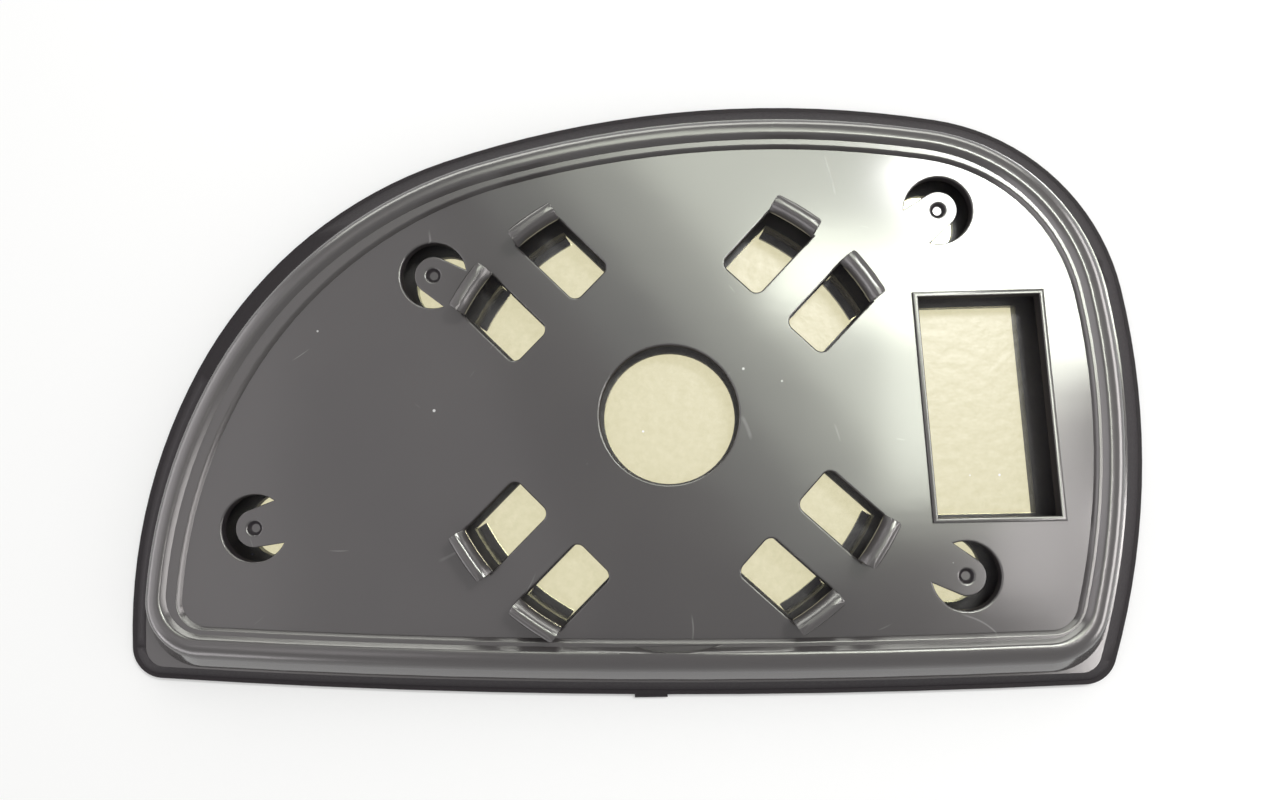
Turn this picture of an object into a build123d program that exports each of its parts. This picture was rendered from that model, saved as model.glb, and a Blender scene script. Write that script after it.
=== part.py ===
from build123d import *
import os
from math import atan2, degrees, hypot, radians, sqrt, tan

# Door mirror glass in its moulded holder, lying glass side down. All sizes are in millimetres.
# Origin: on the plate's back face, at the axis of the centre hole. +Z points out of the back.

# Outline of the front lip. Each side is one arc: how far it reaches from the origin, where along
# the side that point lies, and the arc's radius. The two upper corners are long sweeps that leave
# the right and left sides at a given depth below the top's reach; the two lower corners are tight.
bottom_reach, bottom_mid, bottom_radius = 47.4, 19.0, 1440.0
right_reach, right_mid, right_radius = 80.6, -2.3, 128.0
top_reach, top_mid, top_radius = 54.7, 13.8, 180.0
left_reach, left_mid, left_radius = 94.6, -33.4, 92.0
right_sweep_drop = 34.2
left_sweep_drop = 44.3
lip_corner = 5.6

# Levels, from the plate's back face
plate_thickness = 2.0
mirror_depth = 6.5
glass_thickness = 2.0
lip_thickness = 1.0
skirt_strip = 1.3
flange_depth = 3.5
crest_height = 2.0
ledge_height = 1.0

# Margins inward from the lip's outline, one per side: bottom, right, top, left
strip_width = 0.7
flange_margins = (3.0, 4.6, 3.8, 5.0)
crest_margins = (9.0, 10.1, 8.4, 10.0)
recess_margins = (10.7, 11.6, 10.3, 12.8)
flange_land = 0.3
shoulder_run = 2.6
shoulder_drop = 1.8
shoulder_in = 1.9
shoulder_steps = 4
wall_draft = 0.5
foot_draft = 0.4
flange_corner = 3.4
ring_corner = 10.0
ring_taper = 1.0
crest_corner = 7.0
recess_corner = 4.4
crest_bevel = 0.3
ledge_bevel = 0.25

# Glass and the pocket that it snaps into
pocket_margin = 3.6
pocket_corner = 3.0
glass_clearance = 0.1
lip_overlap = 1.4
seat_overlap = 1.0
skirt_wall = 3.2

# Centre hole and the clip ring around it
centre_hole_diameter = 23.2
opening_flare = 0.3
clip_centre_y = -0.7
clip_angles = (45.8, 134.7, 224.4, 317.2)
clip_radius = 37.8
hook_overhang = 1.4
hook_post = 1.4
hook_width = 8.4
hook_underside = 2.5
hook_nose = 0.9
hook_height = 5.0
hook_land = 1.7
hook_bevel = 0.3
hook_corner = 0.7
hook_spread = 10.9
window_start = 25.0
window_width = 8.2
window_corner = 1.5
window_centre = 7.3

# Spring tongues in round holes: each centre, then the sizes that they share
tongue_centres = ((-39.3, 24.5), (45.6, 33.1), (-69.6, -17.4), (47.6, -27.3))
tongue_hole_diameter = 11.2
tongue_tip_radius = 3.2
tongue_taper = 6.0
tongue_bevel = 0.25
dimple_diameter = 3.0
dimple_bottom = 1.4
dimple_depth = 0.8
pin_diameter = 3.6
pin_clearance = 0.1

# Switch window with a thin raised collar, leaning with the right-hand rim
switch_x, switch_y = 52.3, 0.3
switch_width, switch_height = 19.8, 36.4
switch_lean = 1.8
collar_width = 0.8
collar_height = 0.6

# Moulding marks: notch in the rim's ledge and gate stub on the lip
notch_x = 0.3
notch_radius = 24.0
notch_floor = 0.7
notch_bite = 0.15
notch_ridge = 0.2
gate_x = -4.2
gate_width = 5.6
gate_stand = 0.4
gate_height = 0.8

# Levels and margins that follow from the sizes above
glass_back = -mirror_depth
glass_front = glass_back - glass_thickness
lip_front = glass_front - lip_thickness
strip_top = lip_front + skirt_strip
no_margin = (0.0, 0.0, 0.0, 0.0)


def grown(margins, amount):
    """The same margins, each larger by one amount."""
    return tuple(m + amount for m in margins)


def even(amount):
    """One margin for all four sides."""
    return grown(no_margin, amount)


def corner(first, second, radius, way):
    """Arc of a given radius that touches two side discs from inside: its centre and radius."""
    (x1, y1, r1), (x2, y2, r2) = first, second
    span = hypot(x2 - x1, y2 - y1)
    ux, uy = (x2 - x1) / span, (y2 - y1) / span
    d1, d2 = r1 - radius, r2 - radius
    along = (d1 * d1 - d2 * d2 + span * span) / (2 * span)
    across = sqrt(d1 * d1 - along * along)
    options = [(x1 + along * ux - s * across * uy, y1 + along * uy + s * across * ux) for s in (1, -1)]
    x, y = max(options, key=lambda p: p[0] * way)
    return (x, y, radius)


def sweep(side, top, rise, way):
    """Arc that leaves a side disc in the direction that rises by this sine and runs into the top disc."""
    x1, y1, r1 = side
    x2, y2, r2 = top
    nx, ny = way * sqrt(1 - rise * rise), rise
    wx, wy = x1 + r1 * nx - x2, y1 + r1 * ny - y2
    radius = (r2 * r2 - wx * wx - wy * wy) / (2 * (r2 - wx * nx - wy * ny))
    return (x1 + (r1 - radius) * nx, y1 + (r1 - radius) * ny, radius)


def touch(disc, arc):
    """Point where a corner arc, tighter or wider than the side, runs into a side disc."""
    x, y, r = disc
    slack = r - arc[2]
    return (x + r * (arc[0] - x) / slack, y + r * (arc[1] - y) / slack)


def arc_on(disc, start, end):
    """Arc of a disc's edge from start to end, the short way round."""
    x, y, r = disc
    mx, my = (start[0] + end[0]) / 2 - x, (start[1] + end[1]) / 2 - y
    reach = hypot(mx, my)
    return ThreePointArc(start, (x + r * mx / reach, y + r * my / reach), end)


def outline(margins, corner_radius, level):
    """Mirror outline, set in by a margin on each side, as a face of eight arcs that run into each other."""
    in_bottom, in_right, in_top, in_left = margins
    bottom = (bottom_mid, bottom_radius - bottom_reach, bottom_radius - in_bottom)
    right = (right_reach - right_radius, right_mid, right_radius - in_right)
    top = (top_mid, top_reach - top_radius, top_radius - in_top)
    left = (left_radius - left_reach, left_mid, left_radius - in_left)
    right_rise = (top_reach - right_sweep_drop - right_mid) / right_radius
    left_rise = (top_reach - left_sweep_drop - left_mid) / left_radius
    sides = (bottom, right, top, left)
    corners = (
        corner(bottom, right, corner_radius, 1),
        sweep(right, top, right_rise, 1),
        sweep(left, top, left_rise, -1),
        corner(left, bottom, corner_radius, -1),
    )
    arcs = []
    for i in range(4):
        side_end = touch(sides[i], corners[i])
        arcs.append(arc_on(sides[i], touch(sides[i], corners[i - 1]), side_end))
        arcs.append(arc_on(corners[i], side_end, touch(sides[(i + 1) % 4], corners[i])))
    return Pos(0, 0, level) * make_face(arcs)


def between(*outlines):
    """Straight-walled solid that runs through outlines from the lowest to the highest."""
    return loft(outlines, ruled=True)


def rounded_ring():
    """Ring that rises from the flange, its outer shoulder rounded off in steps on a parabola."""
    foot = grown(flange_margins, flange_land)
    edge = grown(crest_margins, -shoulder_run)
    share = shoulder_drop / (crest_height + flange_depth)
    below = tuple(e + (f - e) * share for e, f in zip(edge, foot))
    levels = [outline(foot, ring_corner, -flange_depth)]
    for i in range(shoulder_steps + 1):
        t = i / shoulder_steps
        margins = tuple(e + (b - e) * (1 - t) ** 2 + shoulder_in * t * t for e, b in zip(edge, below))
        corner_radius = ring_corner - (ring_taper + shoulder_in) * t
        levels.append(outline(margins, corner_radius, crest_height - shoulder_drop * (1 - t) ** 2))
    return between(*levels)


def rim_body():
    """Skirt and rounded rim as one solid, with the stepped recess for the plate cut into its back."""
    strip = extrude(outline(no_margin, lip_corner, lip_front), skirt_strip)
    skirt = between(
        outline(even(strip_width), lip_corner - strip_width, strip_top),
        outline(flange_margins, flange_corner, -flange_depth),
    )
    foot_out = foot_draft + ledge_bevel
    recess = between(
        outline(recess_margins, recess_corner, 0),
        outline(grown(recess_margins, -foot_draft), recess_corner + foot_draft, ledge_height - ledge_bevel),
        outline(grown(recess_margins, -foot_out), recess_corner + foot_out, ledge_height),
    )
    recess += between(
        outline(grown(crest_margins, wall_draft), crest_corner - wall_draft, ledge_height),
        outline(crest_margins, crest_corner, crest_height - crest_bevel),
        outline(grown(crest_margins, -crest_bevel), crest_corner + crest_bevel, crest_height),
    )
    return strip + skirt + rounded_ring() - recess


def hollow():
    """Room inside the holder: lip opening, glass pocket and the space behind the mirror."""
    opening = extrude(outline(even(pocket_margin + lip_overlap), pocket_corner, lip_front), lip_thickness)
    pocket_depth = glass_thickness + glass_clearance
    pocket = extrude(outline(even(pocket_margin), pocket_corner, glass_front), pocket_depth)
    seat = outline(even(pocket_margin + seat_overlap), pocket_corner, glass_back + glass_clearance)
    ceiling = outline(grown(flange_margins, skirt_wall), pocket_corner, -plate_thickness)
    return opening + pocket + between(seat, ceiling)


def through(sketch):
    """Cutter that takes a sketch right through the plate."""
    return extrude(Pos(0, 0, -plate_thickness) * sketch, plate_thickness)


def window_outline(side, extra, level):
    """One clip window beside its diagonal, grown on its three free sides."""
    post_inside = clip_radius + hook_overhang
    start = window_start - extra
    slot = Rectangle(post_inside - start, window_width + 2 * extra)
    slot = Pos((post_inside + start) / 2, side * window_centre) * slot
    slot = fillet(slot.vertices().group_by(Axis.X)[0], window_corner + extra)
    return Pos(0, 0, level) * (slot & Circle(post_inside))


def clip_windows():
    """Windows under the hooks, flared at the back, their sides running along the diagonals."""
    windows = []
    for side in (-1, 1):
        flare = between(window_outline(side, 0, -opening_flare), window_outline(side, opening_flare, 0))
        window = through(window_outline(side, 0, 0)) + flare
        windows += [Pos(0, clip_centre_y, 0) * Rot(0, 0, a) * window for a in clip_angles]
    return windows


def flared_hole(radius):
    """Cutter for a round hole through the plate, flared at the back."""
    flare = Cone(
        radius,
        radius + opening_flare,
        opening_flare,
        align=(Align.CENTER, Align.CENTER, Align.MAX),
    )
    return through(Circle(radius)) + flare


def hooks():
    """Snap hooks: one turned section with a flat top and a sloped nose, kept only where a hook stands."""
    inside = clip_radius + hook_overhang
    outside = inside + hook_post
    nose_top = hook_underside + hook_nose
    section = make_face(
        Polyline(
            (inside, -plate_thickness),
            (inside, hook_underside),
            (clip_radius, hook_underside),
            (clip_radius, nose_top),
            (outside - hook_land, hook_height),
            (outside, hook_height),
            (outside, -plate_thickness),
            close=True,
        )
    )
    section = chamfer(section.vertices().group_by(Axis.Y)[-1], hook_bevel)
    ring = revolve(Plane.XZ * section, Axis.Z)
    plan = Circle(outside) & Rectangle(outside, hook_width, align=(Align.MIN, Align.CENTER))
    plan = fillet(plan.vertices().group_by(Axis.X)[-1], hook_corner)
    slab = extrude(Pos(0, 0, -plate_thickness) * plan, plate_thickness + hook_height)
    slabs = [Rot(0, 0, a + s * hook_spread) * slab for a in clip_angles for s in (-1, 1)]
    return [Pos(0, clip_centre_y, 0) * (ring & s) for s in slabs]


def tongue_outline(inset, level):
    """Tongue that points outward from its root beyond the hole, drawn in on its free edges."""
    tip = tongue_tip_radius - inset
    length = tongue_hole_diameter
    root = tip + length * tan(radians(tongue_taper))
    blade = make_face(Polyline((0, tip), (0, -tip), (-length, -root), (-length, root), close=True))
    return Pos(0, 0, level) * (blade + Circle(tip))


def tongue_slots():
    """Slot round each spring tongue: a flared hole less the tongue, whose free edges are bevelled."""
    tongue = extrude(tongue_outline(0, -plate_thickness), plate_thickness - tongue_bevel)
    tongue += between(tongue_outline(0, -tongue_bevel), tongue_outline(tongue_bevel, 0))
    slot = flared_hole(tongue_hole_diameter / 2) - tongue
    return [Pos(x, y, 0) * Rot(0, 0, degrees(atan2(y, x))) * slot for x, y in tongue_centres]


def dimples():
    """Shallow dimple at the tip of each tongue."""
    dimple = Cone(
        dimple_bottom / 2,
        dimple_diameter / 2,
        dimple_depth,
        align=(Align.CENTER, Align.CENTER, Align.MAX),
    )
    return [Pos(x, y, 0) * dimple for x, y in tongue_centres]


def pins():
    """Pin under each tongue that reaches to the back of the mirror."""
    length = mirror_depth - plate_thickness - pin_clearance
    pin = Cylinder(pin_diameter / 2, length, align=(Align.CENTER, Align.CENTER, Align.MAX))
    return [Pos(x, y, -plate_thickness) * pin for x, y in tongue_centres]


def switch_outline(extra):
    """Outline of the switch window, grown on every side."""
    w, h = switch_width / 2 + extra, switch_height / 2 + extra
    lean = switch_lean / 2 * h / (switch_height / 2)
    corners = ((-w - lean, h), (w - lean, h), (w + lean, -h), (-w + lean, -h))
    return Pos(switch_x, switch_y) * make_face(Polyline(*corners, close=True))


def notch():
    """Shallow cutter in the ledge: a segment of a circle that bites into the crest's wall."""
    low = crest_margins[0] - bottom_reach - notch_bite
    chord = recess_margins[0] - bottom_reach - foot_draft - ledge_bevel - notch_ridge
    disc = Pos(notch_x, low + notch_radius) * Circle(notch_radius)
    strip = Pos(notch_x, low) * Rectangle(2 * notch_radius, chord - low, align=(Align.CENTER, Align.MIN))
    return extrude(Pos(0, 0, notch_floor) * (disc & strip), crest_height - notch_floor)


def make_holder():
    """The one-piece moulding that holds the glass and clips to the mirror's actuator."""
    body = rim_body() - hollow()
    body -= notch()
    gate = Box(gate_width, 2 * gate_stand, gate_height, align=(Align.CENTER, Align.CENTER, Align.MIN))
    body += Pos(gate_x, -bottom_reach, lip_front) * gate
    body += pins()
    body -= flared_hole(centre_hole_diameter / 2)
    body -= clip_windows()
    body -= tongue_slots()
    body -= dimples()
    body += extrude(switch_outline(collar_width), collar_height)
    body -= extrude(Pos(0, 0, -plate_thickness) * switch_outline(0), plate_thickness + collar_height)
    body += hooks()
    return body


def make_glass():
    """Flat silvered glass, resting on the inside of the lip."""
    margin = pocket_margin + glass_clearance
    return extrude(outline(even(margin), pocket_corner - glass_clearance, glass_front), glass_thickness)


os.makedirs("parts", exist_ok=True)
holder = make_holder()
glass = make_glass()
export_step(holder, "parts/backing_plate.step")
export_step(glass, "parts/mirror_glass.step")
for name, part in (("backing_plate", holder), ("mirror_glass", glass)):
    box = part.bounding_box()
    print(name, len(part.solids()), round(part.volume / 1000, 2), "cm3", box.min, box.max)
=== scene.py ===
"""Door mirror glass in its moulded holder, lying glass side down on a pale studio floor."""
from math import hypot, pi, radians

import bmesh
import bpy
from bpy.props import FloatProperty, FloatVectorProperty, PointerProperty
from bpy.types import Operator, Panel, PropertyGroup
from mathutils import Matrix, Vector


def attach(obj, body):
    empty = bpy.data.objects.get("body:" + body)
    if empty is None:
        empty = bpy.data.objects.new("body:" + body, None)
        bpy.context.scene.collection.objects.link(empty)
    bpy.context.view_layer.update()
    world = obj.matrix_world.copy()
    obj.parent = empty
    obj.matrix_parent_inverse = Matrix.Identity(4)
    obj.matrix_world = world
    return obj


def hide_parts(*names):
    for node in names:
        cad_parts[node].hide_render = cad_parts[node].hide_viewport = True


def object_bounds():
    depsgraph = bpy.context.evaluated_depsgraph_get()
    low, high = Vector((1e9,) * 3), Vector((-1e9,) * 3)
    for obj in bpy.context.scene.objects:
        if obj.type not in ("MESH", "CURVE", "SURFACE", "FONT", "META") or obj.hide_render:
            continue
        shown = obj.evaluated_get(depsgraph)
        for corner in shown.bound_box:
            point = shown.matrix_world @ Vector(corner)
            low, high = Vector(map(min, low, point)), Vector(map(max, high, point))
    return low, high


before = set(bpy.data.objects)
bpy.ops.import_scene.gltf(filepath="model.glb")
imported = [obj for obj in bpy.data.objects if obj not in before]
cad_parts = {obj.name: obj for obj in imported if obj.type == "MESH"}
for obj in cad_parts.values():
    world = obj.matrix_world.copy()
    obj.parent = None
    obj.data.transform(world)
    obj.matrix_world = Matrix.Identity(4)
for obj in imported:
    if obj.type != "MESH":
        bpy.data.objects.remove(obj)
CAD_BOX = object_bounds()

bl_info = {
    "name": "Door mirror glass",
    "version": (1, 0, 0),
    "blender": (4, 5, 0),
    "location": "3D View > Sidebar > Mirror",
    "description": "Dresses the packed door mirror glass and its holder, and sets a studio stage",
    "category": "Object",
}

MM = 0.001
PLASTIC_IOR = 1.49

# the ring of hooks; heights are above the back of the plate
RING_Y = -0.7 * MM  # the ring stands round an axis at this place, on x = 0
CREST_RADIUS = 39.2 * MM  # from that axis to the hooks' crests
HOOK_TOP = 4.3 * MM  # what lies above this is the top of a hook

# surface
DOUBLES = 0.002 * MM  # corners of the solid's triangles that lie closer than this are one
ROUNDED_ABOVE = 0.2 * MM  # edges above this, on the hooks and the collar, are rounded
ROUNDED_TURN = radians(60)  # if they turn more than this
HOLDER_BREAK = radians(50)  # smooth shading breaks at sharper edges than this
GLASS_BREAK = radians(30)

# flat areas
COPLANAR = radians(2)  # neighbours that turn less than this are one area
GENTLE = radians(30)  # a border that turns less than this leads into a curve
LEVEL = 0.9999  # least vertical part of a level face's normal
FLOOR_BELOW = 0.1 * MM  # level areas below this are the plate and the flange
LEDGE_WIDTH = 0.7 * MM  # narrower areas are ledges of the rim

# finishes of the holder, in the order of its materials, and the heights that part them
# the etched finish is darker than the polished one: painted shade on the outer wall and in the openings and
# dimples
POLISHED, SHADED_ETCH, DULL_CAST = 0, 1, 2
UNDERSIDE = (-2.1 * MM, -1.9 * MM)  # the walls of the openings end at the plate's underside, 2 mm down
COLLAR_BELOW = 1.5 * MM  # and start no higher than the collar
DIMPLE_FLOOR = (-1.0 * MM, -0.4 * MM)  # the walls of the dimples end within the plate
PLATE_BELOW = 0.01 * MM  # and start no higher than its back
WALL_RISE = 0.95  # the normals of such walls rise less than this
INSIDE_FALL = -0.5  # normals that fall more than this look at the glass
INSIDE_ABOVE = -3.0 * MM  # if they lie above this
SKIRT_BELOW = -3.55 * MM  # the outer wall is etched, its darker tone painted shade, from here down
BACK_RISE = 0.5  # normals that rise more than this are on the glass's back

# stage
FLOOR_RADIUS = 3.0
FLOOR_GAP = 0.02 * MM  # between the floor and the holder's lip
SENSOR_WIDTH, LENS = 36, 27.2  # in millimetres, as cameras have them
# panels that only the moulding mirrors; those that overlap hang at different heights, so that they add up:
# name, place, size, turn in degrees, brightness as a multiple of the sheen, tint
PANELS = (
    ("sheen_panel_broad", (0.036, 0.23, 0.5), (0.32, 0.577), (0, 0, 38), 0.14, "f4fdf0"),
    ("sheen_panel_wide", (0.056, 0.245, 0.497), (0.27, 0.577), (0, 0, 38), 0.35, "f8fdec"),
    ("sheen_panel_inner", (0.076, 0.26, 0.494), (0.22, 0.577), (0, 0, 38), 0.67, "f8fdec"),
    ("sheen_panel_window", (0.194, 0.105, 0.491), (0.253, 0.056), (0, 0, -12), 2.13, "f8fdec"),
    ("sheen_panel_middle", (0.181, 0.035, 0.488), (0.079, 0.151), (0, 0, -4.6), 0.96, "f8fdec"),
    ("sheen_panel_right", (0.244, -0.002, 0.485), (0.056, 0.202), (0, 0, -11), 0.84, "fdf8f6"),
    ("sheen_panel_corner", (0.327, -0.093, 0.482), (0.076, 0.132), (0, 0, 7.4), 3.5, "fdf8f6"),
    ("sheen_panel_left", (-0.42, 0.02, 0.5), (0.3, 0.6), (0, 0, 0), 0.06, "fdf8fa"),
    ("sheen_panel_left_wide", (-0.33, 0.06, 0.491), (0.4, 0.5), (0, 0, 20), 0.06, "fdf8fa"),
    ("sheen_panel_upper", (0.262, 0.14, 0.476), (0.09, 0.08), (0, 0, -12), 1.4, "f8fdec"),
    ("sheen_panel_flange", (0.287, -0.15, 0.479), (0.06, 0.07), (0, 0, 0), 1.5, "fdf8f6"),
    ("rim_panel_far", (0.0, 0.7, 0.1), (1.4, 0.2), (-90, 0, 0), 1.1, "fcfdf4"),
    ("rim_panel_right", (0.8, 0.0, 0.13), (0.26, 1.0), (0, 90, 0), 1.2, "fdf8f6"),
    ("rim_panel_left", (-0.8, 0.0, 0.1), (0.2, 1.0), (0, -90, 0), 0.5, "fdf8fa"),
    ("rim_panel_left_high", (-0.7, 0.05, 0.38), (0.36, 0.8), (0, -62, 0), 0.3, "fdf8fa"),
    ("hook_panel", (-0.3, -0.31, 0.5), (0.2, 0.2), (0, 0, 45), 0.28, "fdf8fa"),
    ("rim_panel_near", (-0.5, -0.5, 0.1), (0.45, 0.2), (90, 0, -45), 0.5, "fdf8fa"),
)


def linear(code):
    """Linear colour of an sRGB hex value such as 4a4848."""
    parts = [int(code[i:i + 2], 16) / 255 for i in (0, 2, 4)]
    return [c / 12.92 if c <= 0.04045 else ((c + 0.055) / 1.055) ** 2.4 for c in parts]


def opaque(colour):
    """Colour of a setting with full alpha, as colour sockets take it."""
    return tuple(colour) + (1,)


def per_metre(size_mm):
    """Texture scale at which one cell of a pattern measures this many millimetres."""
    return 1 / (size_mm * MM)


def add_node(tree, kind, settings=None, **sockets):
    """Adds a node, sets its properties, then sets or links its inputs: by name, with underscores for
    spaces, or by number where names repeat, such as in_6."""
    node = tree.nodes.new(kind)
    for key, value in (settings or {}).items():
        setattr(node, key, value)
    for key, value in sockets.items():
        if key.startswith("in_"):
            socket = node.inputs[int(key[3:])]
        else:
            socket = node.inputs[key.replace("_", " ")]
        if isinstance(value, bpy.types.NodeSocket):
            tree.links.new(value, socket)
        else:
            socket.default_value = value
    return node


def new_material(name):
    """Node material without any nodes, and its tree."""
    material = bpy.data.materials.new(name)
    material.use_nodes = True
    tree = material.node_tree
    tree.nodes.clear()
    return material, tree


def deselect():
    """Leaves nothing selected, so that an operator acts only on what comes next."""
    if bpy.context.object and bpy.context.object.mode != "OBJECT":
        bpy.ops.object.mode_set(mode="OBJECT")
    bpy.ops.object.select_all(action="DESELECT")


def merged_copy(node, name):
    """New piece with a copy of a solid's triangles, its doubles merged."""
    deselect()
    piece = bpy.data.objects.new(name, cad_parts[node].data.copy())
    bpy.context.scene.collection.objects.link(piece)
    bpy.context.view_layer.objects.active = piece
    piece.select_set(True)
    piece.data.materials.clear()
    bpy.ops.mesh.customdata_custom_splitnormals_clear()
    bpy.ops.object.mode_set(mode="EDIT")
    bpy.ops.mesh.select_all(action="SELECT")
    bpy.ops.mesh.remove_doubles(threshold=DOUBLES)
    bpy.ops.object.mode_set(mode="OBJECT")
    return piece


def round_edges(piece, width, height):
    """Bevels the piece's sharp outer edges that lie above a height."""
    bpy.ops.object.mode_set(mode="EDIT")
    bpy.ops.mesh.select_mode(type="EDGE")
    bpy.ops.mesh.select_all(action="DESELECT")
    form = bmesh.from_edit_mesh(piece.data)
    for edge in form.edges:
        high = min(v.co.z for v in edge.verts) > height
        if high and edge.is_convex and edge.calc_length() > 2 * width:
            edge.select_set(edge.calc_face_angle() > ROUNDED_TURN)
    bmesh.update_edit_mesh(piece.data)
    bpy.ops.mesh.bevel(offset=width, segments=2, affect="EDGES", clamp_overlap=False)
    bpy.ops.object.mode_set(mode="OBJECT")


def lean_tops(piece, slope):
    """Lets the hooks' tops fall away outwards from their crests, as the mould leaves them."""
    for vertex in piece.data.vertices:
        outward = hypot(vertex.co.x, vertex.co.y - RING_Y) - CREST_RADIUS
        if vertex.co.z > HOOK_TOP and outward > 0:
            vertex.co.z -= slope * outward


def flat_faces(form):
    """Faces of the flat areas: the plate and the flange, other level areas wider than a ledge, and sloping
    ones as wide that meet no gentle curve."""
    flat, seen = [], set()
    for start in form.faces:
        if start in seen:
            continue
        area, border, curved = [start], 0.0, False
        seen.add(start)
        for face in area:
            for edge in face.edges:
                angle = edge.calc_face_angle(pi)
                if angle > COPLANAR:
                    border += edge.calc_length()
                    curved = curved or angle < GENTLE
                    continue
                new = [f for f in edge.link_faces if f not in seen]
                area.extend(new)
                seen.update(new)
        level = abs(start.normal.z) > LEVEL
        floor = level and start.verts[0].co.z < FLOOR_BELOW
        # a long strip has half its border along each side
        wide = 2 * sum(f.calc_area() for f in area) > LEDGE_WIDTH * border
        if floor or wide and (level or not curved):
            flat.extend(area)
    return flat


def smooth_shading(piece, angle):
    """Smooth shading that breaks at sharp edges, with flat areas kept flat right up to their bevels."""
    bpy.ops.object.shade_smooth_by_angle(angle=angle)
    bpy.ops.object.mode_set(mode="EDIT")
    bpy.ops.mesh.select_mode(type="FACE")
    bpy.ops.mesh.select_all(action="DESELECT")
    form = bmesh.from_edit_mesh(piece.data)
    for face in flat_faces(form):
        face.select_set(True)
    bmesh.update_edit_mesh(piece.data)
    bpy.ops.mesh.mod_weighted_strength(set=True, face_strength="STRONG")
    bpy.ops.object.mode_set(mode="OBJECT")
    flat = piece.modifiers.new("flat_areas", "WEIGHTED_NORMAL")
    flat.mode = "CORNER_ANGLE"
    flat.keep_sharp = True
    flat.use_face_influence = True
    bpy.ops.object.modifier_apply(modifier=flat.name)


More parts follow.
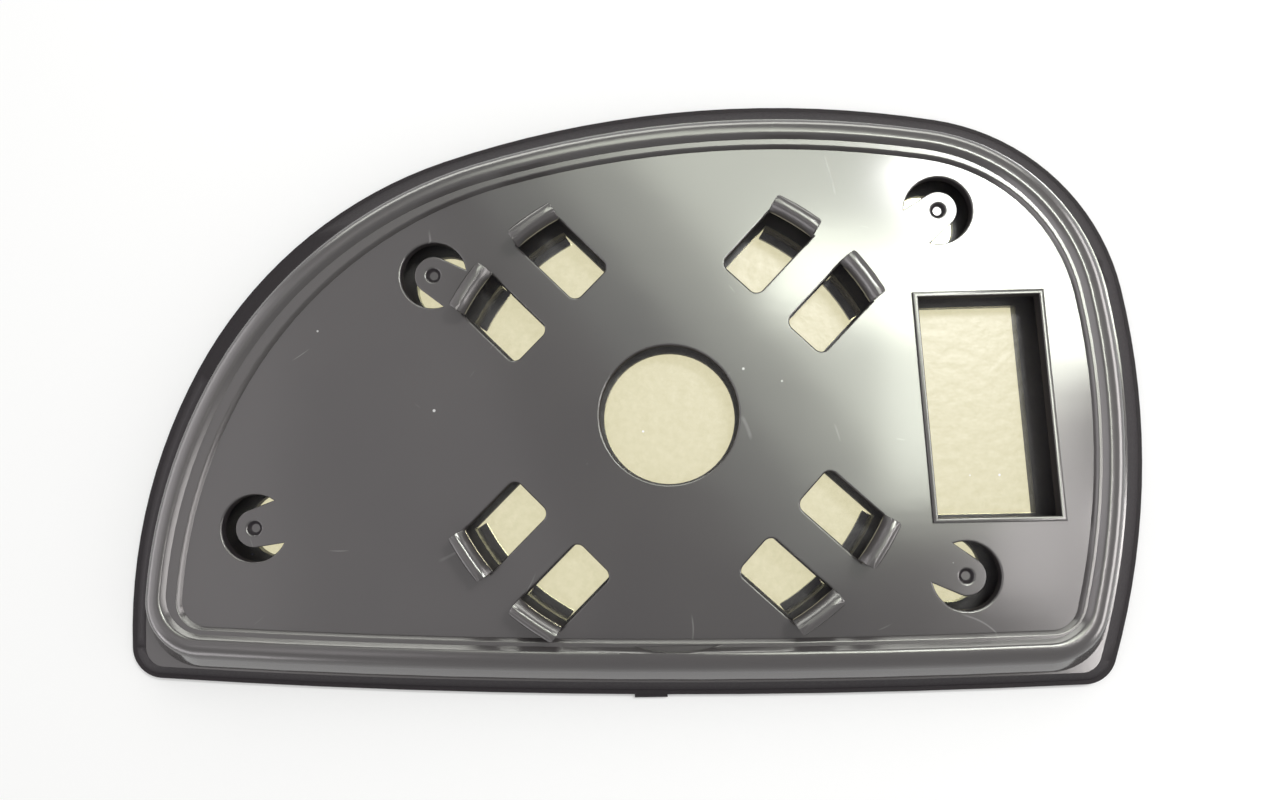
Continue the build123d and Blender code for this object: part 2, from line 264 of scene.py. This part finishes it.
def polypropylene(props):
    """Black polypropylene from a polished mould: dark grey in the light, a soft broad sheen, faint flow
    waves under the gloss, hairline scuffs and a little dust."""
    material, tree = new_material("polypropylene_moulded")
    place = add_node(tree, "ShaderNodeTexCoord").outputs["Object"]
    cloud = add_node(tree, "ShaderNodeTexNoise", Vector=place, Scale=per_metre(34),
                     Detail=3.0, Roughness=0.5)
    tone = add_node(
        tree, "ShaderNodeMix", {"data_type": "RGBA"},
        Factor=cloud.outputs["Fac"],
        in_6=opaque(props.plastic_dark), in_7=opaque(props.plastic_light),
    )
    # scuffs and flow waves lie on the plate; the small hooks and the rim keep straight highlights
    level = add_node(tree, "ShaderNodeSeparateXYZ", Vector=place)
    plate = add_node(tree, "ShaderNodeMapRange", Value=level.outputs["Z"],
                     From_Min=0.05 * MM, From_Max=0.3 * MM, To_Min=1.0, To_Max=0.15)
    # hairline scuffs: cell borders of a bent pattern, kept only here and there
    bent = add_node(tree, "ShaderNodeTexNoise", Vector=place, Scale=per_metre(26), Detail=1.0)
    swirl = add_node(tree, "ShaderNodeVectorMath", {"operation": "MULTIPLY_ADD"},
                     in_0=bent.outputs["Color"], in_1=(0.02, 0.02, 0.0), in_2=place)
    cells = add_node(tree, "ShaderNodeTexVoronoi", {"feature": "DISTANCE_TO_EDGE"},
                     Vector=swirl.outputs["Vector"], Scale=per_metre(21))
    line = add_node(tree, "ShaderNodeMapRange", Value=cells.outputs["Distance"],
                    From_Min=0.002, From_Max=0.007, To_Min=1.0, To_Max=0.0)
    where = add_node(tree, "ShaderNodeTexNoise", Vector=place, Scale=per_metre(9), Detail=1.0)
    some = add_node(tree, "ShaderNodeMapRange", Value=where.outputs["Fac"],
                    From_Min=0.62, From_Max=0.70, To_Min=0.0, To_Max=0.14)
    scuff = add_node(tree, "ShaderNodeMath", {"operation": "MULTIPLY"},
                     in_0=line.outputs["Result"], in_1=some.outputs["Result"])
    # dust: small spots in a few of the cells, drawn 0.4 mm across so that they show
    spots = add_node(tree, "ShaderNodeTexVoronoi", Vector=place, Scale=per_metre(6.5))
    spot = add_node(tree, "ShaderNodeMapRange", Value=spots.outputs["Distance"],
                    From_Min=0.028, From_Max=0.045, To_Min=1.0, To_Max=0.0)
    pick = add_node(tree, "ShaderNodeSeparateColor", Color=spots.outputs["Color"])
    few = add_node(tree, "ShaderNodeMath", {"operation": "GREATER_THAN"},
                   in_0=pick.outputs["Red"], in_1=0.86)
    dust = add_node(tree, "ShaderNodeMath", {"operation": "MULTIPLY"},
                    in_0=spot.outputs["Result"], in_1=few.outputs["Value"])
    marks = add_node(tree, "ShaderNodeMath", {"operation": "MAXIMUM"},
                     in_0=scuff.outputs["Value"], in_1=dust.outputs["Value"])
    marks = add_node(tree, "ShaderNodeMath", {"operation": "MULTIPLY"},
                     in_0=marks.outputs["Value"], in_1=plate.outputs["Result"])
    colour = add_node(
        tree, "ShaderNodeMix", {"data_type": "RGBA"},
        Factor=marks.outputs["Value"], in_6=tone.outputs["Result"], in_7=opaque(props.dust),
    )
    polish = add_node(tree, "ShaderNodeMapRange", Value=cloud.outputs["Fac"],
                      From_Min=0.3, From_Max=0.7, To_Min=0.12, To_Max=0.16)
    # the rim and the hooks are polished less than the plate
    dull = add_node(tree, "ShaderNodeMapRange", Value=plate.outputs["Result"],
                    From_Min=0.15, From_Max=1.0, To_Min=0.1, To_Max=0.0)
    rough = add_node(tree, "ShaderNodeMath", {"operation": "ADD"},
                     in_0=polish.outputs["Result"], in_1=dull.outputs["Result"])
    grain = add_node(tree, "ShaderNodeTexNoise", Vector=place, Scale=per_metre(0.6), Detail=2.0)
    # the melt ran along the plate, so its waves are drawn out that way
    along = add_node(tree, "ShaderNodeVectorMath", {"operation": "MULTIPLY"},
                     in_0=place, in_1=(0.3, 1.0, 1.0))
    waves = add_node(tree, "ShaderNodeTexNoise", Vector=along.outputs["Vector"], Scale=per_metre(12),
                     Detail=3.0)
    flow = add_node(tree, "ShaderNodeBump", Strength=plate.outputs["Result"], Distance=0.03 * MM,
                    Height=waves.outputs["Fac"])
    bump = add_node(tree, "ShaderNodeBump", Strength=0.06, Distance=0.02 * MM,
                    Height=grain.outputs["Fac"], Normal=flow.outputs["Normal"])
    shader = add_node(
        tree, "ShaderNodeBsdfPrincipled",
        Base_Color=colour.outputs["Result"], Roughness=rough.outputs["Value"], IOR=PLASTIC_IOR,
        Normal=bump.outputs["Normal"],
    )
    add_node(tree, "ShaderNodeOutputMaterial", Surface=shader.outputs["BSDF"])
    return material


def shaded_etch_polypropylene(props):
    """The same plastic where the mould is spark-etched: a fine matt grain that stays almost black, its dark
    tone painted shade on the outer wall and on the walls of the openings and dimples.
    """
    material, tree = new_material("polypropylene_shaded_etch")
    place = add_node(tree, "ShaderNodeTexCoord").outputs["Object"]
    # the grain is about 0.1 mm, drawn 0.5 mm so that it shows
    grain = add_node(tree, "ShaderNodeTexNoise", Vector=place, Scale=per_metre(0.5), Detail=3.0)
    tone = add_node(
        tree, "ShaderNodeMix", {"data_type": "RGBA"},
        Factor=grain.outputs["Fac"], in_6=opaque(props.shaded_etch_dark), in_7=opaque(props.shaded_etch_light),
    )
    rough = add_node(tree, "ShaderNodeMapRange", Value=grain.outputs["Fac"],
                     From_Min=0.3, From_Max=0.7, To_Min=0.55, To_Max=0.7)
    bump = add_node(tree, "ShaderNodeBump", Strength=0.3, Distance=0.03 * MM,
                    Height=grain.outputs["Fac"])
    shader = add_node(
        tree, "ShaderNodeBsdfPrincipled",
        Base_Color=tone.outputs["Result"], Roughness=rough.outputs["Result"], IOR=PLASTIC_IOR,
        Specular_IOR_Level=0.06, Normal=bump.outputs["Normal"],
    )
    add_node(tree, "ShaderNodeOutputMaterial", Surface=shader.outputs["BSDF"])
    return material


def dull_cast_polypropylene(props):
    """The inside of the moulding, from an unpolished mould: dull, with a painted cool cast so that its
    image in the warm silvering looks black."""
    material, tree = new_material("polypropylene_dull_cast")
    place = add_node(tree, "ShaderNodeTexCoord").outputs["Object"]
    cloud = add_node(tree, "ShaderNodeTexNoise", Vector=place, Scale=per_metre(8), Detail=3.0)
    tone = add_node(
        tree, "ShaderNodeMix", {"data_type": "RGBA"},
        Factor=cloud.outputs["Fac"], in_6=opaque(props.inside_dark), in_7=opaque(props.inside_light),
    )
    shader = add_node(tree, "ShaderNodeBsdfPrincipled", Base_Color=tone.outputs["Result"],
                      Roughness=0.5, IOR=PLASTIC_IOR)
    add_node(tree, "ShaderNodeOutputMaterial", Surface=shader.outputs["BSDF"])
    return material


def silvered_back(props):
    """Back of the silvering: a mirror with a warm cast and faint mottling, under lacquer with fine dust."""
    material, tree = new_material("silvering_back")
    place = add_node(tree, "ShaderNodeTexCoord").outputs["Object"]
    mottle = add_node(tree, "ShaderNodeTexNoise", Vector=place, Scale=per_metre(1.6),
                      Detail=4.0, Roughness=0.65)
    tone = add_node(
        tree, "ShaderNodeMix", {"data_type": "RGBA"},
        Factor=mottle.outputs["Fac"], in_6=opaque(props.silver_dull), in_7=opaque(props.silver_bright),
    )
    spots = add_node(tree, "ShaderNodeTexVoronoi", Vector=place, Scale=per_metre(2.2))
    spot = add_node(tree, "ShaderNodeMapRange", Value=spots.outputs["Distance"],
                    From_Min=0.06, From_Max=0.12, To_Min=1.0, To_Max=0.0)
    pick = add_node(tree, "ShaderNodeSeparateColor", Color=spots.outputs["Color"])
    few = add_node(tree, "ShaderNodeMath", {"operation": "GREATER_THAN"},
                   in_0=pick.outputs["Green"], in_1=0.9)
    dust = add_node(tree, "ShaderNodeMath", {"operation": "MULTIPLY"},
                    in_0=spot.outputs["Result"], in_1=few.outputs["Value"])
    colour = add_node(
        tree, "ShaderNodeMix", {"data_type": "RGBA"},
        Factor=dust.outputs["Value"], in_6=tone.outputs["Result"], in_7=(1, 1, 1, 1),
    )
    rough = add_node(tree, "ShaderNodeMapRange", Value=mottle.outputs["Fac"],
                     From_Min=0.35, From_Max=0.65, To_Min=0.015, To_Max=0.03)
    # the lacquer lies unevenly, which breaks its haze into soft patches
    brush = add_node(tree, "ShaderNodeTexNoise", Vector=place, Scale=per_metre(2.2), Detail=4.0)
    lacquer = add_node(tree, "ShaderNodeBump", Strength=1.0, Distance=0.1 * MM,
                       Height=brush.outputs["Fac"])
    shader = add_node(
        tree, "ShaderNodeBsdfPrincipled",
        Base_Color=colour.outputs["Result"], Metallic=0.985, Roughness=rough.outputs["Result"],
        Coat_Weight=1.0, Coat_Roughness=0.4, Coat_IOR=1.8, Coat_Normal=lacquer.outputs["Normal"],
    )
    add_node(tree, "ShaderNodeOutputMaterial", Surface=shader.outputs["BSDF"])
    return material


def mirror_front(props):
    """Front of the glass: clear float glass over silver, a neutral mirror with the faintest green and
    smears."""
    material, tree = new_material("float_glass_silvered")
    place = add_node(tree, "ShaderNodeTexCoord").outputs["Object"]
    smear = add_node(tree, "ShaderNodeTexNoise", Vector=place, Scale=per_metre(40),
                     Detail=4.0, Roughness=0.6)
    rough = add_node(tree, "ShaderNodeMapRange", Value=smear.outputs["Fac"],
                     From_Min=0.4, From_Max=0.7, To_Min=0.01, To_Max=0.04)
    shader = add_node(
        tree, "ShaderNodeBsdfPrincipled",
        Base_Color=opaque(props.front), Metallic=1.0, Roughness=rough.outputs["Result"],
        Coat_Weight=1.0, Coat_Roughness=0.01, Coat_IOR=1.52,
    )
    add_node(tree, "ShaderNodeOutputMaterial", Surface=shader.outputs["BSDF"])
    return material


def panel(name, place, size, turn, power):
    """Soft rectangular lamp that faces straight down before its turn, in degrees."""
    bpy.ops.object.light_add(type="AREA", location=place, rotation=[radians(a) for a in turn])
    lamp = bpy.context.object
    lamp.name = name
    lamp.data.shape = "RECTANGLE"
    lamp.data.size, lamp.data.size_y = size
    lamp.data.energy = power
    return lamp


def finish_of(piece, face):
    """Finish of one of the holder's faces."""
    heights = [piece.data.vertices[i].co.z for i in face.vertices]
    low, high = min(heights), max(heights)
    opening = UNDERSIDE[0] < low < UNDERSIDE[1] and high < COLLAR_BELOW
    dimple = DIMPLE_FLOOR[0] < low < DIMPLE_FLOOR[1] and high < PLATE_BELOW
    # the walls of the openings, the dimples' cones and the outer wall get the darker etched finish, which
    # paints their shade
    wall = (opening or dimple) and face.normal.z < WALL_RISE
    # faces that look down at the glass get the dull finish with its painted cool cast
    if face.normal.z < INSIDE_FALL and face.center.z > INSIDE_ABOVE:
        return DULL_CAST
    return SHADED_ETCH if wall or face.center.z < SKIRT_BELOW else POLISHED


class HolderSettings(PropertyGroup):
    """Colours and edges of the moulded holder."""

    plastic_dark: FloatVectorProperty(
        name="Plastic, dark", description="Darker tone of the moulding", subtype="COLOR", min=0, max=1,
        default=linear("423f40"),
    )
    plastic_light: FloatVectorProperty(
        name="Plastic, light", description="Lighter tone of the moulding", subtype="COLOR", min=0, max=1,
        default=linear("4a4746"),
    )
    # etched tones: a matt grain, darkened as painted shade
    shaded_etch_dark: FloatVectorProperty(
        name="Skirt, dark", description="Darker tone of the etched skirt, painted shade", subtype="COLOR", min=0, max=1,
        default=linear("272426"),
    )
    shaded_etch_light: FloatVectorProperty(
        name="Skirt, light", description="Lighter tone of the etched skirt, painted shade", subtype="COLOR", min=0, max=1,
        default=linear("332f32"),
    )
    # inside tones: black plastic given a painted cool cast for its image in the silvering
    inside_dark: FloatVectorProperty(
        name="Inside, dark", description="Darker tone of the unpolished inside, painted cool cast",
        subtype="COLOR", min=0, max=1, default=linear("40416a"),
    )
    inside_light: FloatVectorProperty(
        name="Inside, light", description="Lighter tone of the unpolished inside, painted cool cast",
        subtype="COLOR", min=0, max=1, default=linear("4c4d76"),
    )
    dust: FloatVectorProperty(
        name="Dust and scuffs", description="Colour of dust and scuffs on the moulding",
        subtype="COLOR", min=0, max=1, default=linear("c9c8c6"),
    )
    edge: FloatProperty(
        name="Edge round", description="Rounding of the hooks' and the collar's sharp edges", unit="LENGTH",
        default=0.18 * MM, min=0.0, max=0.5 * MM, precision=5,
    )
    lean: FloatProperty(
        name="Hook lean", description="Fall of the hooks' tops, outwards from the crest",
        default=0.21, min=0.0, max=0.3,
    )


class GlassSettings(PropertyGroup):
    """Colours of the silvered glass."""

    silver_dull: FloatVectorProperty(
        name="Silvering, dull", description="Duller tone of the silvering's back",
        subtype="COLOR", min=0, max=1, default=linear("d2cba3"),
    )
    silver_bright: FloatVectorProperty(
        name="Silvering, bright", description="Brighter tone of the silvering's back",
        subtype="COLOR", min=0, max=1, default=linear("e6dfbd"),
    )
    front: FloatVectorProperty(
        name="Mirror", description="Reflection of the glass front", subtype="COLOR", min=0, max=1,
        default=linear("dfe3e0"),
    )


class StageSettings(PropertyGroup):
    """Floor, light and camera."""

    floor: FloatVectorProperty(
        name="Floor", description="Colour of the studio floor", subtype="COLOR", min=0, max=1,
        default=linear("fdfdfc"),
    )
    lamp: FloatProperty(
        name="Lamp", description="Power of the small soft lamp at the upper right", unit="POWER",
        default=1.15, min=0,
    )
    haze: FloatProperty(
        name="Haze", description="Power of the lamp that shows up the lacquer on the silvering",
        unit="POWER", default=0.48, min=0,
    )
    sheen: FloatProperty(
        name="Sheen", description="Brightness of the panels that the moulding mirrors, where 1 is white",
        default=10.0, min=0,
    )
    fill: FloatProperty(
        name="Fill", description="Brightness of the room for diffuse light", default=0.8, min=0, max=2,
    )
    camera_place: FloatVectorProperty(
        name="Camera", description="Place of the camera above the plate",
        subtype="TRANSLATION", unit="LENGTH", default=(0.77 * MM, -9.5 * MM, 160 * MM), precision=4,
    )
    camera_turn: FloatVectorProperty(
        name="Camera turn", description="Angles of the camera, which looks almost straight down",
        subtype="EULER", default=(radians(4.258), radians(2.067), radians(-1.2)),
    )


class MIRROR_OT_holder(Operator):
    """Dress the moulded holder: merged surface, rounded edges, polypropylene"""

    bl_idname = "mirror.holder"
    bl_label = "Moulded holder"

    def execute(self, context):
        props = context.scene.mirror_holder
        piece = merged_copy("backing_plate", "moulded_holder")
        piece.data.materials.append(polypropylene(props))
        piece.data.materials.append(shaded_etch_polypropylene(props))
        piece.data.materials.append(dull_cast_polypropylene(props))
        round_edges(piece, props.edge, ROUNDED_ABOVE)
        lean_tops(piece, props.lean)
        smooth_shading(piece, HOLDER_BREAK)
        for face in piece.data.polygons:
            face.material_index = finish_of(piece, face)
        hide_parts("backing_plate")
        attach(piece, "root")
        return {"FINISHED"}


class MIRROR_OT_glass(Operator):
    """Dress the glass: mirror front, warm silvering on the back"""

    bl_idname = "mirror.glass"
    bl_label = "Silvered glass"

    def execute(self, context):
        props = context.scene.mirror_glass
        piece = merged_copy("mirror_glass", "silvered_glass")
        piece.data.materials.append(mirror_front(props))
        piece.data.materials.append(silvered_back(props))
        for face in piece.data.polygons:
            face.material_index = 1 if face.normal.z > BACK_RISE else 0
        smooth_shading(piece, GLASS_BREAK)
        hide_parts("mirror_glass")
        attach(piece, "root")
        return {"FINISHED"}


class MIRROR_OT_stage(Operator):
    """Set the floor, the light and the camera"""

    bl_idname = "mirror.stage"
    bl_label = "Studio stage"

    def execute(self, context):
        props = context.scene.mirror_stage
        deselect()
        bpy.ops.mesh.primitive_circle_add(
            vertices=96, radius=FLOOR_RADIUS, fill_type="NGON", location=(0, 0, 0),
        )
        floor = context.object
        floor.name = "studio_floor"
        bpy.ops.object.mode_set(mode="EDIT")
        bpy.ops.transform.translate(value=(0, 0, CAD_BOX[0][2] - FLOOR_GAP))
        bpy.ops.object.mode_set(mode="OBJECT")
        material, tree = new_material("studio_paper")
        paper = add_node(tree, "ShaderNodeBsdfDiffuse", Color=opaque(props.floor))
        add_node(tree, "ShaderNodeOutputMaterial", Surface=paper.outputs["BSDF"])
        floor.data.materials.append(material)

        world = bpy.data.worlds.new("studio_room")
        context.scene.world = world
        world.use_nodes = True
        tree = world.node_tree
        tree.nodes.clear()
        # the room is white to the camera and in mirrors, and dimmer as a source of diffuse light
        ray = add_node(tree, "ShaderNodeLightPath")
        seen = add_node(tree, "ShaderNodeMath", {"operation": "MAXIMUM"},
                        in_0=ray.outputs["Is Camera Ray"], in_1=ray.outputs["Is Glossy Ray"])
        seen = add_node(tree, "ShaderNodeMath", {"operation": "MAXIMUM"},
                        in_0=seen.outputs["Value"], in_1=ray.outputs["Is Transmission Ray"])
        level = add_node(tree, "ShaderNodeMapRange", Value=seen.outputs["Value"],
                         To_Min=props.fill, To_Max=1.0)
        room = add_node(tree, "ShaderNodeBackground", Color=(1, 1, 1, 1),
                        Strength=level.outputs["Result"])
        add_node(tree, "ShaderNodeOutputWorld", Surface=room.outputs["Background"])

        panel("soft_lamp", (0.212, 0.185, 0.479), (0.11, 0.09), (0, 0, 37), props.lamp)
        # for the haze in the lacquer: a lamp that only the glass sees, its image hidden under the plate
        haze = panel("haze_lamp", (0.1265, 0.184, 0.476), (0.05, 0.05), (0, 0, 0), props.haze)
        haze.light_linking.receiver_collection = bpy.data.collections.new("hazed")
        haze.light_linking.receiver_collection.objects.link(bpy.data.objects["silvered_glass"])
        gloss = bpy.data.collections.new("mirrors_the_panels")
        gloss.objects.link(bpy.data.objects["moulded_holder"])
        for name, place, size, turn, times, tint in PANELS:
            # a panel's brightness is its power over pi times its area
            power = props.sheen * times * pi * size[0] * size[1]
            lamp = panel(name, place, size, turn, power)
            lamp.data.color = linear(tint)
            lamp.visible_diffuse = False
            lamp.light_linking.receiver_collection = gloss

        bpy.ops.object.camera_add(location=props.camera_place, rotation=props.camera_turn)
        camera = context.object
        camera.name = "studio_camera"
        camera.data.sensor_width = SENSOR_WIDTH
        camera.data.lens = LENS
        camera.data.clip_start = 0.005
        context.scene.camera = camera
        context.scene.view_settings.view_transform = "Standard"
        return {"FINISHED"}


class MIRROR_PT_pieces(Panel):
    """Pieces of the door mirror glass"""

    bl_idname = "MIRROR_PT_pieces"
    bl_label = "Door mirror glass"
    bl_space_type = "VIEW_3D"
    bl_region_type = "UI"
    bl_category = "Mirror"

    def draw(self, context):
        for operator in OPERATORS:
            self.layout.operator(operator.bl_idname)


OPERATORS = (MIRROR_OT_holder, MIRROR_OT_glass, MIRROR_OT_stage)
SETTINGS = {"mirror_holder": HolderSettings, "mirror_glass": GlassSettings, "mirror_stage": StageSettings}


def register():
    """Registers the settings, operators and panel."""
    for name, group in SETTINGS.items():
        bpy.utils.register_class(group)
        setattr(bpy.types.Scene, name, PointerProperty(type=group))
    for cls in OPERATORS + (MIRROR_PT_pieces,):
        bpy.utils.register_class(cls)


def unregister():
    """Removes what register added."""
    for cls in (MIRROR_PT_pieces,) + OPERATORS[::-1]:
        bpy.utils.unregister_class(cls)
    for name, group in reversed(SETTINGS.items()):
        delattr(bpy.types.Scene, name)
        bpy.utils.unregister_class(group)


def main():
    """Registers the add-on, then builds every piece and the stage."""
    register()
    bpy.ops.mirror.holder()
    bpy.ops.mirror.glass()
    bpy.ops.mirror.stage()


if __name__ == "__main__":
    main()
